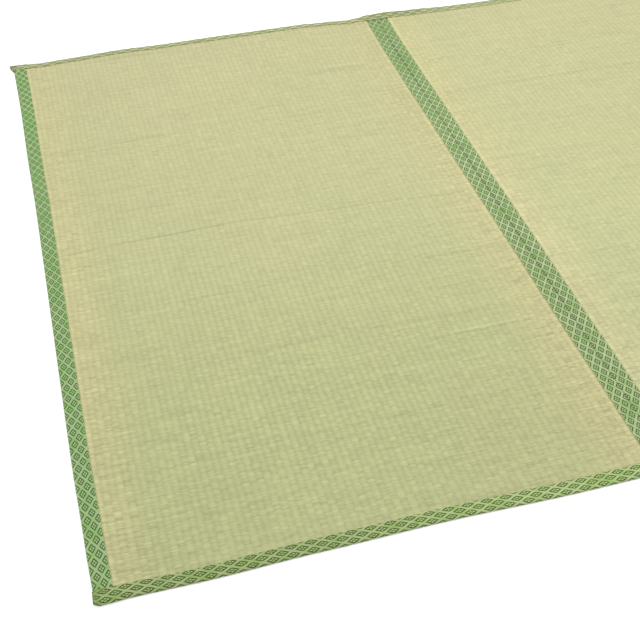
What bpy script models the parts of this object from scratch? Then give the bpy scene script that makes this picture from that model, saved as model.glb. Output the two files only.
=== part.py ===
"""Rush grass carpet: two woven rush mats side by side, bound all round with folded tape.

The carpet lies on the plane z = 0 with its middle at the origin. X runs across the ribs,
Y along them, from the front edge to the back edge. Lengths are in metres.

Every piece is first laid out on a flat, straight plan with the coordinates u (across) and
v (along). The function place() then moves a plan point to its real place, so that all the
layers share the outline's unevenness and the lifted places, and stay one gap apart.
"""

import math

import bmesh
import bpy
from mathutils import Vector

# Driving dimensions
MAT_WIDTH = 0.880
CARPET_LENGTH = 1.760
RUSH_THICKNESS = 0.0026
RIBS_PER_MAT = 76
RIB_RISE = 0.0006
TAPE_THICKNESS = 0.0010
SIDE_TAPE_WIDTH = 0.0287
JOINT_TAPE_WIDTH = 0.0264
GAP = 0.0003

# Room for the end tapes, a little more than their widest place. Their own widths are in the
# tables of the front and back edges.
END_TAPE_REACH = 0.0270

# Outer corner radius of the folded tapes
SIDE_FOLD_RADIUS = 0.0016
JOINT_FOLD_RADIUS = 0.0012
END_FOLD_RADIUS = 0.0020

# Ends of the end tapes: the folded-in cloth that closes them, and how far the outer fold
# sticks out past the side tape, more than the inner edge does
TIP_WALL = 0.0012
TIP_HEIGHT = 0.0058
FRONT_TIP_SKEW = 0.0010
BACK_TIP_SKEW = 0.0080

# Where a layer comes down again beside the tape that lifts it: past the tape's inner edge,
# and by this distance from its outer edge
REST_MARGIN = 0.0015
DROP_END = 0.0700

# Where an end tape's upper flap steps down beside a long tape
STEP_START = SIDE_TAPE_WIDTH + 0.0008
STEP_END = STEP_START + 0.0065

# Values worked out from the driving dimensions
HALF_WIDTH = MAT_WIDTH
HALF_LENGTH = CARPET_LENGTH / 2
LAYER_STEP = TAPE_THICKNESS + GAP
FOLDED_HEIGHT = RUSH_THICKNESS + 2 * LAYER_STEP
SEAM = GAP / 2

# Long left edge: how far it lies inside the straight line, by place along the carpet
LEFT_EDGE = (
    # v, inset
    (-0.88, 0.0035),
    (-0.76, 0.0014),
    (-0.58, -0.0007),
    (0.0, 0.0003),
    (0.20, 0.0006),
    (0.44, -0.0013),
    (0.62, -0.0011),
    (0.88, -0.0038),
)

# Long right edge: straight but for the same splay at the back
RIGHT_EDGE = (
    # v, inset
    (0.44, 0.0),
    (0.88, -0.0038),
)

# Seam between the mats: how far it strays to the right
JOINT_LINE = (
    # v, shift
    (-0.88, -0.0028),
    (-0.58, -0.0010),
    (0.0, 0.0026),
    (0.44, 0.0048),
    (0.62, 0.0062),
    (0.88, 0.0105),
)

# Front edge: how far it lies inside the straight line, and how wide its tape is
FRONT_EDGE = (
    # u, inset, tape width
    (-0.89, -0.0021, 0.0245),
    (-0.82, 0.0005, 0.0245),
    (-0.73, -0.0004, 0.0238),
    (-0.55, 0.0040, 0.0247),
    (-0.37, 0.0070, 0.0243),
    (-0.16, 0.0033, 0.0265),
    (0.0, 0.0051, 0.0265),
    (0.30, 0.0035, 0.0262),
    (0.60, 0.0030, 0.0260),
    (0.89, 0.0020, 0.0260),
)
FRONT_WIDTH_COLUMN = 2

# Back edge: how far it lies inside the straight line, how far it is lifted, and how wide
# its tape is
BACK_EDGE = (
    # u, inset, lift, tape width
    (-0.89, 0.0045, 0.0010, 0.0250),
    (-0.82, 0.0050, 0.0, 0.0222),
    (-0.75, 0.0017, 0.0, 0.0205),
    (-0.63, -0.0048, 0.0, 0.0210),
    (-0.52, 0.0002, 0.0, 0.0200),
    (-0.40, 0.0005, 0.0003, 0.0208),
    (-0.31, 0.0030, 0.0003, 0.0196),
    (-0.19, 0.0045, 0.0003, 0.0192),
    (-0.13, 0.0115, 0.0003, 0.0192),
    (-0.07, 0.0205, 0.0010, 0.0205),
    (-0.01, 0.0238, 0.0055, 0.0240),
    (0.04, 0.0243, 0.0078, 0.0245),
    (0.09, 0.0262, 0.0068, 0.0240),
    (0.20, 0.0281, 0.0025, 0.0248),
    (0.28, 0.0283, 0.0010, 0.0264),
    (0.55, 0.0245, 0.0010, 0.0264),
    (0.82, 0.0130, 0.0, 0.0260),
    (0.89, 0.0120, 0.0020, 0.0260),
)
BACK_WIDTH_COLUMN = 3

# How much of the back edge's lift is left further in
LIFT_FADE = (
    # depth from the back edge, share
    (0.0, 1.0),
    ((END_TAPE_REACH + END_FOLD_RADIUS) / 2, 0.50),
    (END_TAPE_REACH + REST_MARGIN, 0.15),
    (DROP_END, 0.0),
)

# Fold across the left mat, left from storing it folded in half
FOLD_LINE = (
    # u, v
    (-0.85, 0.0110),
    (-0.72, 0.0195),
    (-0.49, 0.0230),
    (-0.40, 0.0135),
    (-0.28, 0.0075),
    (-0.07, -0.0100),
)
FOLD_RISE = 0.0018
FOLD_HALF_WIDTH = 0.035
FOLD_END_FADE = 0.060

# Rows of points along the carpet, where the long edges and the seam turn
MIDDLE_ROWS = (-0.58, 0.0, 0.44, 0.62)
EXTRA_ROW = 0.20

# Longest steps between points: along the long tapes, along the front and back tapes, and
# where the back edge is lifted most
LONG_STEP = 0.120
FRONT_STEP = 0.100
BACK_STEP = 0.035
LIFTED_STEP = 0.010
LIFTED_FROM = -0.080
LIFTED_TO = 0.210

# How many points a tape's flaps have across, besides those of its fold
FLAP_STEPS = 2
SEAM_FLAP_STEPS = 3

# How far from the start of a fold's curve the edge inside it stops
EDGE_ROOM = 0.0008

# Share of a step by which a stretch may be longer than it before one more is added
STEP_ALLOWANCE = 1e-6

MATERIALS = {
    # name: (colour, roughness)
    "rush": ((0.62, 0.60, 0.33, 1.0), 0.65),
    "border_tape": ((0.16, 0.33, 0.12, 1.0), 0.80),
}


def clear_scene():
    for item in list(bpy.data.objects):
        bpy.data.objects.remove(item, do_unlink=True)


def ease(share):
    share = min(max(share, 0.0), 1.0)
    return share * share * (3.0 - 2.0 * share)


def straight(share):
    return share


def look_up(table, at, column, blend=ease):
    """A table's value between its rows, held constant past its ends."""
    if at <= table[0][0]:
        return table[0][column]
    for low, high in zip(table, table[1:]):
        if at <= high[0]:
            share = blend((at - low[0]) / (high[0] - low[0]))
            return low[column] + (high[column] - low[column]) * share
    return table[-1][column]


def fall(depth, flat_to, zero_at):
    """1 up to flat_to, then straight down to 0 at zero_at."""
    return min(max((zero_at - depth) / (zero_at - flat_to), 0.0), 1.0)


def back_lift(u, v):
    depth = HALF_LENGTH - v
    return look_up(BACK_EDGE, u, 2) * look_up(LIFT_FADE, depth, 1, straight)


def place(u, v, z):
    """Real place of a plan point at the height z in its own stack of layers."""
    outer_share = abs(u) / HALF_WIDTH
    outer_shift = look_up(LEFT_EDGE, v, 1) if u < 0 else -look_up(RIGHT_EDGE, v, 1)
    x = u + outer_share * outer_shift + (1.0 - outer_share) * look_up(JOINT_LINE, v, 1)
    back_share = max(v / HALF_LENGTH, 0.0) ** 2
    front_share = max(-v / HALF_LENGTH, 0.0) ** 2
    y = v - back_share * look_up(BACK_EDGE, u, 1) + front_share * look_up(FRONT_EDGE, u, 1)
    return Vector((x, y, z + back_lift(u, v)))


def side_depth(u):
    """Distance in from the nearest long tape's outer edge or from the seam."""
    return min(abs(u), HALF_WIDTH - abs(u))


def end_depth(v):
    return HALF_LENGTH - abs(v)


def on_side_tape(u):
    """How much a layer that crosses a long tape's lower flap is lifted by it, 0 to 1."""
    return fall(side_depth(u), SIDE_TAPE_WIDTH + REST_MARGIN, DROP_END)


def on_end_tape(v):
    return fall(end_depth(v), END_TAPE_REACH + REST_MARGIN, DROP_END)


def over_side_tape(u):
    """How much an end tape's upper flap is lifted by a long tape's upper flap, 0 to 1."""
    return fall(side_depth(u), STEP_START, STEP_END)


def end_tape_height(u):
    return FOLDED_HEIGHT + LAYER_STEP * (on_side_tape(u) + over_side_tape(u))


def divide(marks, longest_step):
    """The marks, with evenly spaced stations between those that lie far apart."""
    stations = [marks[0]]
    for low, high in zip(marks, marks[1:]):
        count = max(1, math.ceil((high - low) / longest_step - STEP_ALLOWANCE))
        stations += [low + (high - low) * step / count for step in range(1, count + 1)]
    return stations


def front_marks(first):
    return [first, -HALF_LENGTH + END_TAPE_REACH + REST_MARGIN, -HALF_LENGTH + DROP_END]


def back_marks(last):
    return [HALF_LENGTH - row[0] for row in reversed(LIFT_FADE[1:])] + [last]


class MeshParts:
    """Points and triangles of one closed solid."""

    def __init__(self):
        self.points = []
        self.faces = []

    def add(self, point):
        self.points.append(point)
        return len(self.points) - 1

    def triangle(self, a, b, c):
        self.faces.append((a, b, c))

    def quad(self, *corners):
        """Two triangles, split along the same plan direction in every layer."""
        places = [self.points[corner].x + self.points[corner].y for corner in corners]
        first = places.index(min(places))
        a, b, c, d = corners[first:] + corners[:first]
        self.faces.append((a, b, c))
        self.faces.append((a, c, d))

    def grid(self, rows, turned=False):
        """Cells between neighbouring rows, seen from outside with rows going up."""
        for lower, upper in zip(rows, rows[1:]):
            for step in range(len(lower) - 1):
                near, far = step, step + 1
                if turned:
                    self.quad(lower[near], upper[near], upper[far], lower[far])
                else:
                    self.quad(lower[near], lower[far], upper[far], upper[near])

    def stitch(self, lower, upper, along, turned=False):
        """Triangles between two rims that run the same way with different steps."""
        a, b = 0, 0
        while a < len(lower) - 1 or b < len(upper) - 1:
            step_lower = b == len(upper) - 1
            if a < len(lower) - 1 and not step_lower:
                next_lower = self.points[lower[a + 1]][along]
                step_lower = next_lower <= self.points[upper[b + 1]][along]
            corner = lower[a + 1] if step_lower else upper[b + 1]
            face = (lower[a], corner, upper[b])
            self.faces.append(face[::-1] if turned else face)
            a, b = (a + 1, b) if step_lower else (a, b + 1)

    def make(self, name, material):
        mesh = bpy.data.meshes.new(name)
        mesh.from_pydata(self.points, [], self.faces)
        mesh.validate()
        shape = bmesh.new()
        shape.from_mesh(mesh)
        bmesh.ops.recalc_face_normals(shape, faces=shape.faces)
        shape.to_mesh(mesh)
        shape.free()
        mesh.materials.append(material)
        item = bpy.data.objects.new(name, mesh)
        bpy.context.scene.collection.objects.link(item)
        return item


def make_material(kind, name):
    colour, roughness = MATERIALS[kind]
    material = bpy.data.materials.new(name + "_finish")
    material.use_nodes = True
    shader = material.node_tree.nodes["Principled BSDF"]
    shader.inputs["Base Color"].default_value = colour
    shader.inputs["Roughness"].default_value = roughness
    shader.inputs["Metallic"].default_value = 0.0
    return material


def fold_height(u, v):
    """Ridge of the fold across the left mat, fading out before the tapes."""
    room = side_depth(u) - SIDE_TAPE_WIDTH - REST_MARGIN
    along = min(max(room / FOLD_END_FADE, 0.0), 1.0)
    across = max(1.0 - abs(v - look_up(FOLD_LINE, u, 1)) / FOLD_HALF_WIDTH, 0.0)
    return FOLD_RISE * along * across


def rush_row_places(u, folded):
    """Where the rows of a mat's mesh lie at u, from front to back."""
    middle = list(MIDDLE_ROWS)
    if folded:
        line = look_up(FOLD_LINE, u, 1)
        middle[1:2] = [line - FOLD_HALF_WIDTH, line, line + FOLD_HALF_WIDTH, EXTRA_ROW]
    end = HALF_LENGTH - END_FOLD_RADIUS - EDGE_ROOM
    return front_marks(-end) + middle + back_marks(end)


def rush_panel(name, side, folded):
    """A mat with raised ribs above and a plain underside. side is -1 on the left."""
    inner = SEAM + JOINT_FOLD_RADIUS + EDGE_ROOM
    outer = HALF_WIDTH - SIDE_FOLD_RADIUS - EDGE_ROOM
    low, high = (-outer, -inner) if side < 0 else (inner, outer)
    count = 2 * RIBS_PER_MAT
    columns = [low + (high - low) * step / count for step in range(count + 1)]

    wanted = [low] + [u for u in end_tape_stations(True) if low < u < high] + [high]
    under = {round((u - low) / (high - low) * count) for u in wanted}

    parts = MeshParts()
    top = []
    bottom = []
    for row in range(len(rush_row_places(low, folded))):
        top_row = []
        bottom_row = []
        for index, u in enumerate(columns):
            v = rush_row_places(u, folded)[row]
            floor = LAYER_STEP * (on_side_tape(u) + on_end_tape(v))
            floor += fold_height(u, v) if folded else 0.0
            crest = RUSH_THICKNESS if index % 2 else RUSH_THICKNESS - RIB_RISE
            top_row.append(parts.add(place(u, v, floor + crest)))
            if index in under:
                bottom_row.append(parts.add(place(u, v, floor)))
        top.append(top_row)
        bottom.append(bottom_row)

    parts.grid(top)
    parts.grid(bottom, turned=True)
    parts.stitch(bottom[0], top[0], along=0)
    parts.stitch(bottom[-1], top[-1], along=0, turned=True)
    parts.stitch([row[0] for row in bottom], [row[0] for row in top], along=1, turned=True)
    parts.stitch([row[-1] for row in bottom], [row[-1] for row in top], along=1)
    return parts.make(name, make_material("rush", name))


def fold_profile(width, height, radius, flap_steps):
    """Outer and inner points (depth, z) of a folded tape, from its lower to its upper edge."""
    outer = []
    inner = []
    for step in range(flap_steps):
        depth = width + (radius - width) * step / flap_steps
        outer.append((depth, 0.0))
        inner.append((depth, TAPE_THICKNESS))
    inner_radius = radius - TAPE_THICKNESS
    for centre_z, angle in (
        (radius, -90.0),
        (radius, -180.0),
        (height - radius, -180.0),
        (height - radius, -270.0),
    ):
        across = math.cos(math.radians(angle))
        upward = math.sin(math.radians(angle))
        outer.append((radius + radius * across, centre_z + radius * upward))
        inner.append((radius + inner_radius * across, centre_z + inner_radius * upward))
    for step in range(1, flap_steps + 1):
        depth = radius + (width - radius) * step / flap_steps
        outer.append((depth, height))
        inner.append((depth, height - TAPE_THICKNESS))
    return outer, inner


def add_profile(parts, points, to_place):
    return [parts.add(to_place(depth, z)) for depth, z in points]


def join_sections(parts, sections):
    """Skin between neighbouring (outer, inner) sections of a tape."""
    rings = [outer + inner[::-1] + outer[:1] for outer, inner in sections]
    parts.grid(rings)


def cap_open(parts, outer, inner):
    for step in range(len(outer) - 1):
        parts.quad(outer[step], outer[step + 1], inner[step + 1], inner[step])


def cap_filled(parts, points):
    """Closes an open row of points, an even number, by pairing them from both ends."""
    low, high = 0, len(points) - 1
    while high - low > 2:
        parts.quad(points[low], points[low + 1], points[high - 1], points[high])
        low, high = low + 1, high - 1


def long_tape(name, side, at_seam):
    """Tape folded over a mat's long edge, on its outer side or at the seam."""
    width = JOINT_TAPE_WIDTH if at_seam else SIDE_TAPE_WIDTH
    radius = JOINT_FOLD_RADIUS if at_seam else SIDE_FOLD_RADIUS
    flap_steps = SEAM_FLAP_STEPS if at_seam else FLAP_STEPS
    end = HALF_LENGTH - END_FOLD_RADIUS - EDGE_ROOM
    marks = front_marks(-end) + list(MIDDLE_ROWS) + back_marks(end)
    stations = divide(marks, LONG_STEP)
    outer_points, inner_points = fold_profile(width, FOLDED_HEIGHT, radius, flap_steps)
    parts = MeshParts()
    sections = []
    for v in stations:
        floor = LAYER_STEP * on_end_tape(v)

        def to_place(depth, z, v=v, floor=floor):
            u = side * (SEAM + depth) if at_seam else side * (HALF_WIDTH - depth)
            return place(u, v, floor + z)

        sections.append((
            add_profile(parts, outer_points, to_place),
            add_profile(parts, inner_points, to_place),
        ))
    join_sections(parts, sections)
    cap_open(parts, *sections[0])
    cap_open(parts, *sections[-1])
    return parts.make(name, make_material("border_tape", name))


def end_tape_stations(is_back):
    """Where an end tape's sections stand between its two closed ends."""
    near_seam = [STEP_START, STEP_END, DROP_END]
    near_edge = [DROP_END, STEP_END, STEP_START, SIDE_TAPE_WIDTH / 2]
    right_half = [0.0] + near_seam + [HALF_WIDTH - depth for depth in near_edge]
    marks = [-value for value in reversed(right_half)] + right_half[1:]
    if not is_back:
        return divide(marks, FRONT_STEP)
    before = [u for u in marks if u < LIFTED_FROM] + [LIFTED_FROM]
    lifted = [LIFTED_FROM] + [u for u in marks if LIFTED_FROM < u < LIFTED_TO] + [LIFTED_TO]
    after = [LIFTED_TO] + [u for u in marks if u > LIFTED_TO]
    stations = divide(before, BACK_STEP)
    stations += divide(lifted, LIFTED_STEP)[1:]
    stations += divide(after, BACK_STEP)[1:]
    return stations


def end_tape(name, is_back):
    """Tape folded over both mats' ends and the ends of the long tapes."""
    sign = 1.0 if is_back else -1.0
    skew = BACK_TIP_SKEW if is_back else FRONT_TIP_SKEW
    edge = BACK_EDGE if is_back else FRONT_EDGE
    width_column = BACK_WIDTH_COLUMN if is_back else FRONT_WIDTH_COLUMN
    parts = MeshParts()

    def section(u, height, lean=0.0, is_filled=False):
        """Outer and inner points. lean moves them sideways, most at the outer fold."""
        width = look_up(edge, u, width_column)
        outer_points, inner_points = fold_profile(width, height, END_FOLD_RADIUS, FLAP_STEPS)

        def to_place(depth, z):
            leaning = lean * (1.0 - depth / width)
            return place(u + leaning, sign * (HALF_LENGTH - depth), z)

        outer = add_profile(parts, outer_points, to_place)
        if is_filled:
            return outer, []
        return outer, add_profile(parts, inner_points, to_place)

    wall = HALF_WIDTH + GAP
    full_height = end_tape_height(HALF_WIDTH)
    sections = [section(-wall, full_height, -skew)]
    sections += [section(u, end_tape_height(u)) for u in end_tape_stations(is_back)]
    sections.append(section(wall, full_height, skew))
    join_sections(parts, sections)
    for direction, (outer, inner) in ((-1.0, sections[0]), (1.0, sections[-1])):
        tip_u = direction * (wall + TIP_WALL)
        tip, _ = section(tip_u, TIP_HEIGHT, direction * skew, is_filled=True)
        parts.grid([tip, outer])
        cap_filled(parts, tip)
        cap_filled(parts, inner)
        parts.triangle(tip[0], outer[0], inner[0])
        parts.triangle(tip[0], inner[0], inner[-1])
        parts.triangle(tip[0], inner[-1], tip[-1])
        parts.triangle(tip[-1], inner[-1], outer[-1])
    return parts.make(name, make_material("border_tape", name))


def build():
    clear_scene()
    rush_panel("rush_panel_left", side=-1, folded=True)
    rush_panel("rush_panel_right", side=1, folded=False)
    long_tape("side_binding_left", side=-1, at_seam=False)
    long_tape("side_binding_right", side=1, at_seam=False)
    long_tape("joint_binding_left", side=-1, at_seam=True)
    long_tape("joint_binding_right", side=1, at_seam=True)
    end_tape("end_binding_front", is_back=False)
    end_tape("end_binding_back", is_back=True)


build()
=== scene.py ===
"""Looks of the rush grass carpet: woven rush mats and patterned folded tapes on a pale floor.

Every cloth piece is laid out on the same straight plan as its solid, with the coordinates
u (across the ribs) and v (along them), and place() moves it to its real place. Lengths are
in metres. Each mesh carries its plan coordinates, or a tape's own along and across, in a
map that the materials read, so that weave and pattern follow the cloth.
"""

import math

import bpy
import numpy as np
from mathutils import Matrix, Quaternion, Vector


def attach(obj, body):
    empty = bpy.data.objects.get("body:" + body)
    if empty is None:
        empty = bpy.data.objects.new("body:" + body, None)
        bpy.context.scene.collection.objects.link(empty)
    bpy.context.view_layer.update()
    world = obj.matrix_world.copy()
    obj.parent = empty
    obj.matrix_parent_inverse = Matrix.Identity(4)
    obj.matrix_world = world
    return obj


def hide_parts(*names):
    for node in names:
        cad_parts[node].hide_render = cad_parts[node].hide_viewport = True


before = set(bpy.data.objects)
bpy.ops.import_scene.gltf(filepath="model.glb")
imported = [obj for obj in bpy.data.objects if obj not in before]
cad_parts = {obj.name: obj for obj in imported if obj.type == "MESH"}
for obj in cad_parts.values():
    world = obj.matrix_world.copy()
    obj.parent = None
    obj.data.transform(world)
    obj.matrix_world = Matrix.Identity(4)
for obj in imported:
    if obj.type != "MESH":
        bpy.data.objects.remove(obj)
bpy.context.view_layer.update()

CLOTH_MAP = "cloth"
# Name of the point attribute that holds the fold's painted light and shade
PAINTED_FOLD_LIGHT = "painted_fold_light"
TINY = 1e-6

# Sizes shared with the solids
MAT_WIDTH = 0.880
CARPET_LENGTH = 1.760
RUSH_THICKNESS = 0.0026
RIBS_PER_MAT = 76
RIB_RISE = 0.0006
TAPE_THICKNESS = 0.0010
SIDE_TAPE_WIDTH = 0.0287
JOINT_TAPE_WIDTH = 0.0264
END_TAPE_REACH = 0.0270
GAP = 0.0003
SIDE_FOLD_RADIUS = 0.0016
JOINT_FOLD_RADIUS = 0.0012
END_FOLD_RADIUS = 0.0020
TIP_WALL = 0.0012
TIP_HEIGHT = 0.0058
FRONT_TIP_SKEW = 0.0010
BACK_TIP_SKEW = 0.0080
REST_MARGIN = 0.0015
DROP_END = 0.0700
STEP_START = SIDE_TAPE_WIDTH + 0.0008
STEP_END = STEP_START + 0.0065
EDGE_ROOM = 0.0008
HALF_WIDTH = MAT_WIDTH
HALF_LENGTH = CARPET_LENGTH / 2
LAYER_STEP = TAPE_THICKNESS + GAP
FOLDED_HEIGHT = RUSH_THICKNESS + 2 * LAYER_STEP
SEAM = GAP / 2

# A mat's inner and outer edge, inside the tapes, and the width of one rib
MAT_INNER = SEAM + JOINT_FOLD_RADIUS + EDGE_ROOM
MAT_OUTER = HALF_WIDTH - SIDE_FOLD_RADIUS - EDGE_ROOM
MAT_END = HALF_LENGTH - END_FOLD_RADIUS - EDGE_ROOM
RIB_PITCH = (MAT_OUTER - MAT_INNER) / RIBS_PER_MAT

# Outline tables, the same as the solids'
LEFT_EDGE = (
    # v, inset
    (-0.88, 0.0035),
    (-0.76, 0.0014),
    (-0.58, -0.0007),
    (0.0, 0.0003),
    (0.20, 0.0006),
    (0.44, -0.0013),
    (0.62, -0.0011),
    (0.88, -0.0038),
)
RIGHT_EDGE = (
    # v, inset
    (0.44, 0.0),
    (0.88, -0.0038),
)
JOINT_LINE = (
    # v, shift to the right
    (-0.88, -0.0028),
    (-0.58, -0.0010),
    (0.0, 0.0026),
    (0.44, 0.0048),
    (0.62, 0.0062),
    (0.88, 0.0105),
)
# Front edge: how far it lies inside the straight line, and how wide its tape is
FRONT_EDGE = (
    # u, inset, tape width
    (-0.89, -0.0021, 0.0245),
    (-0.82, 0.0005, 0.0245),
    (-0.73, -0.0004, 0.0238),
    (-0.55, 0.0040, 0.0247),
    (-0.37, 0.0070, 0.0243),
    (-0.16, 0.0033, 0.0265),
    (0.0, 0.0051, 0.0265),
    (0.30, 0.0035, 0.0262),
    (0.60, 0.0030, 0.0260),
    (0.89, 0.0020, 0.0260),
)
FRONT_WIDTH_COLUMN = 2

# Back edge: how far it lies inside the straight line, how far it is lifted, and how wide
# its tape is
BACK_EDGE = (
    # u, inset, lift, tape width
    (-0.89, 0.0045, 0.0010, 0.0250),
    (-0.82, 0.0050, 0.0, 0.0222),
    (-0.75, 0.0017, 0.0, 0.0205),
    (-0.63, -0.0048, 0.0, 0.0210),
    (-0.52, 0.0002, 0.0, 0.0200),
    (-0.40, 0.0005, 0.0003, 0.0208),
    (-0.31, 0.0030, 0.0003, 0.0196),
    (-0.19, 0.0045, 0.0003, 0.0192),
    (-0.13, 0.0115, 0.0003, 0.0192),
    (-0.07, 0.0205, 0.0010, 0.0205),
    (-0.01, 0.0238, 0.0055, 0.0240),
    (0.04, 0.0243, 0.0078, 0.0245),
    (0.09, 0.0262, 0.0068, 0.0240),
    (0.20, 0.0281, 0.0025, 0.0248),
    (0.28, 0.0283, 0.0010, 0.0264),
    (0.55, 0.0245, 0.0010, 0.0264),
    (0.82, 0.0130, 0.0, 0.0260),
    (0.89, 0.0120, 0.0020, 0.0260),
)
BACK_LIFT_COLUMN = 2
BACK_WIDTH_COLUMN = 3
LIFT_FADE = (
    # depth from the back edge, share of the lift
    (0.0, 1.0),
    ((END_TAPE_REACH + END_FOLD_RADIUS) / 2, 0.50),
    (END_TAPE_REACH + REST_MARGIN, 0.15),
    (DROP_END, 0.0),
)

# Fold across the left mat: a low ridge with a narrow crack along its top
FOLD_LINE = (
    # u, v
    (-0.85, 0.0110),
    (-0.72, 0.0195),
    (-0.49, 0.0230),
    (-0.40, 0.0135),
    (-0.28, 0.0075),
    (-0.07, -0.0100),
)
FOLD_RISE = 0.0018
FOLD_HALF_WIDTH = 0.035
FOLD_SHARPNESS = 1.4
FOLD_END_FADE = 0.030
CRACK_DEPTH = 0.0009
CRACK_HALF_WIDTH = 0.0045

# The painted highlight on the fold's front side: how far it lies from the crack, its half
# width, and how light it is painted next to the painted shade in the crack
LIT_OFFSET = 0.0090
LIT_HALF_WIDTH = 0.0090
PAINTED_LIT_LOOK = 0.25

# How dark the painted shade in the crack is along the fold
CRACK_PAINTED_SHADE = (
    # u, darkness
    (-0.84, 0.75),
    (-0.77, 0.35),
    (-0.71, 0.85),
    (-0.63, 1.50),
    (-0.54, 1.35),
    (-0.49, 0.60),
    (-0.36, 0.60),
    (-0.31, 1.00),
    (-0.24, 0.50),
    (-0.08, 0.90),
)

# Faint creases across a mat: where they start and end, their half width, how much lighter
# than the rest they are painted, as light on a rise and as shade in a dent (darker where
# negative), and how high they rise
FAINT_CREASES = (
    # u from, u to, v from, v to, half width, lightness, rise
    (-0.76, -0.60, 0.136, 0.137, 0.0080, -0.060, -0.0002),
    (-0.26, -0.19, 0.124, 0.118, 0.0040, -0.110, -0.0002),
    (-0.86, -0.58, 0.419, 0.423, 0.0060, -0.070, -0.0002),
    (-0.44, -0.02, 0.420, 0.406, 0.0100, -0.035, -0.0002),
    (0.02, 0.62, 0.420, 0.408, 0.0110, -0.055, -0.0003),
    (0.02, 0.40, 0.434, 0.424, 0.0060, 0.030, 0.0001),
    (-0.76, -0.50, 0.835, 0.837, 0.0060, -0.070, -0.0002),
    (-0.72, -0.50, 0.823, 0.824, 0.0060, 0.030, 0.0001),
    (-0.26, -0.06, 0.606, 0.613, 0.0130, -0.055, -0.0003),
    (-0.22, -0.06, 0.633, 0.630, 0.0080, 0.070, 0.0003),
    (-0.33, -0.10, 0.732, 0.729, 0.0080, 0.035, 0.0002),
    (-0.40, -0.30, 0.481, 0.479, 0.0100, -0.045, -0.0002),
    (-0.25, -0.12, 0.281, 0.276, 0.0040, -0.080, -0.0001),
    (0.03, 0.30, 0.693, 0.688, 0.0080, -0.035, -0.0002),
    (0.02, 0.15, 0.093, 0.091, 0.0050, -0.060, -0.0001),
    (0.04, 0.18, 0.030, 0.029, 0.0040, -0.070, -0.0001),
    (-0.86, -0.66, -0.090, -0.084, 0.0040, 0.070, 0.0001),
    (-0.85, -0.64, -0.230, -0.221, 0.0050, 0.050, 0.0001),
    (-0.29, -0.02, -0.206, -0.218, 0.0060, -0.060, -0.0002),
    (-0.84, -0.44, -0.204, -0.205, 0.0070, -0.030, -0.0001),
    (-0.26, -0.05, -0.311, -0.318, 0.0100, -0.035, -0.0002),
    (-0.68, -0.38, -0.386, -0.390, 0.0080, -0.040, -0.0002),
    (-0.38, -0.07, -0.390, -0.402, 0.0070, -0.055, -0.0002),
    (-0.24, -0.02, -0.445, -0.444, 0.0030, 0.160, 0.0002),
    (-0.28, -0.02, -0.452, -0.453, 0.0040, -0.080, -0.0002),
    (-0.86, -0.76, -0.519, -0.518, 0.0030, -0.080, -0.0001),
    (-0.86, -0.74, -0.556, -0.552, 0.0040, 0.080, 0.0001),
    (-0.62, -0.05, -0.629, -0.627, 0.0035, -0.045, -0.0001),
    (-0.16, -0.02, -0.640, -0.638, 0.0035, 0.080, 0.0001),
    (-0.86, -0.75, -0.708, -0.706, 0.0035, 0.080, 0.0001),
)
FAINT_END = 0.050

# Fineness of the meshes
COLUMNS_PER_RIB = 5
MAT_ROW_STEP = 0.0080
LONG_TAPE_STEP = 0.0050
END_TAPE_STEP = 0.0040
UPPER_FLAP_STEPS = 10
LOWER_FLAP_STEPS = 4
FOLD_STEPS = 5
HEM_STEPS = 5
INNER_FLAP_STEPS = 6
INNER_FOLD_STEPS = 2
CORNER_STEP = 0.0012
UNDER_ROWS = 45
RIBS_PER_UNDER_COLUMN = 2
ROWS_BESIDE_FOLD = 103

# Rows of the left mat's mesh next to the fold: how far they lie from its line
FOLD_ROWS = (FOLD_HALF_WIDTH, 0.0240, 0.0150, 0.0085, CRACK_HALF_WIDTH, 0.0017)

# Mean widths of the end tapes, for their flat cuts
FRONT_TAPE_MEAN = 0.0255
BACK_TAPE_MEAN = 0.0235

# Softness of the cloth: how far the tapes' inner edges stray, how far the upper flaps rise
# and fall, how far their edges press down and from which share of their width on, how far the
# ribs show through, and how far the mats rise and fall
EDGE_STRAY = 0.0005
FLAP_PUFF = 0.00022
EDGE_PRESS = 0.0005
PRESS_FROM = 0.75
RIB_PRINT = 0.00012
MAT_WAVE = 0.00035

# A rib's roundness, and how uneven the ribs' heights are from rib to rib and along each
RIB_ROUNDNESS = 2.2
RIB_TO_RIB = 0.18
ALONG_RIB = 0.12

# Lengths of the waves that make this unevenness
STRAY_WAVES = (0.173, 0.071, 0.037)
PUFF_WAVES = (0.113, 0.047, 0.029)
PUFF_SEED = 5.0
MAT_WAVES_ALONG = (0.31, 0.19)
MAT_WAVES_ACROSS = (0.47, 0.27)
MAT_WAVE_SLANT = 0.35
RIB_WAVES = (0.061, 0.023)

# Turns between the waves' starting points, for the next piece and for the next wave
TURN_BY_SEED = 2.399
TURN_BY_WAVE = 1.731
TURN_BY_RIB = 2.4

# The rounded ends of the end tapes, how much of their height closes at the tips, and where
# their corners start and their walls stand
CORNER_LENGTH = 0.0085
FRONT_CORNER_DEPTH = 0.0050
BACK_CORNER_DEPTH = 0.0
TIP_STEPS = 6
TIP_CLOSING = 0.92
CORNER_START = HALF_WIDTH - CORNER_LENGTH
END_WALL = HALF_WIDTH + GAP

# Camera, at the photograph's angle
CAMERA_TARGET = Vector((-0.3159, -0.3707, 0.0))
CAMERA_AZIMUTH = -14.60
CAMERA_ELEVATION = 36.85
CAMERA_ROLL = -2.24
CAMERA_DISTANCE = 2.3515
CAMERA_LENS = 75.07
CAMERA_SHIFT_X = -0.100
SENSOR_WIDTH = 36.0

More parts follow.
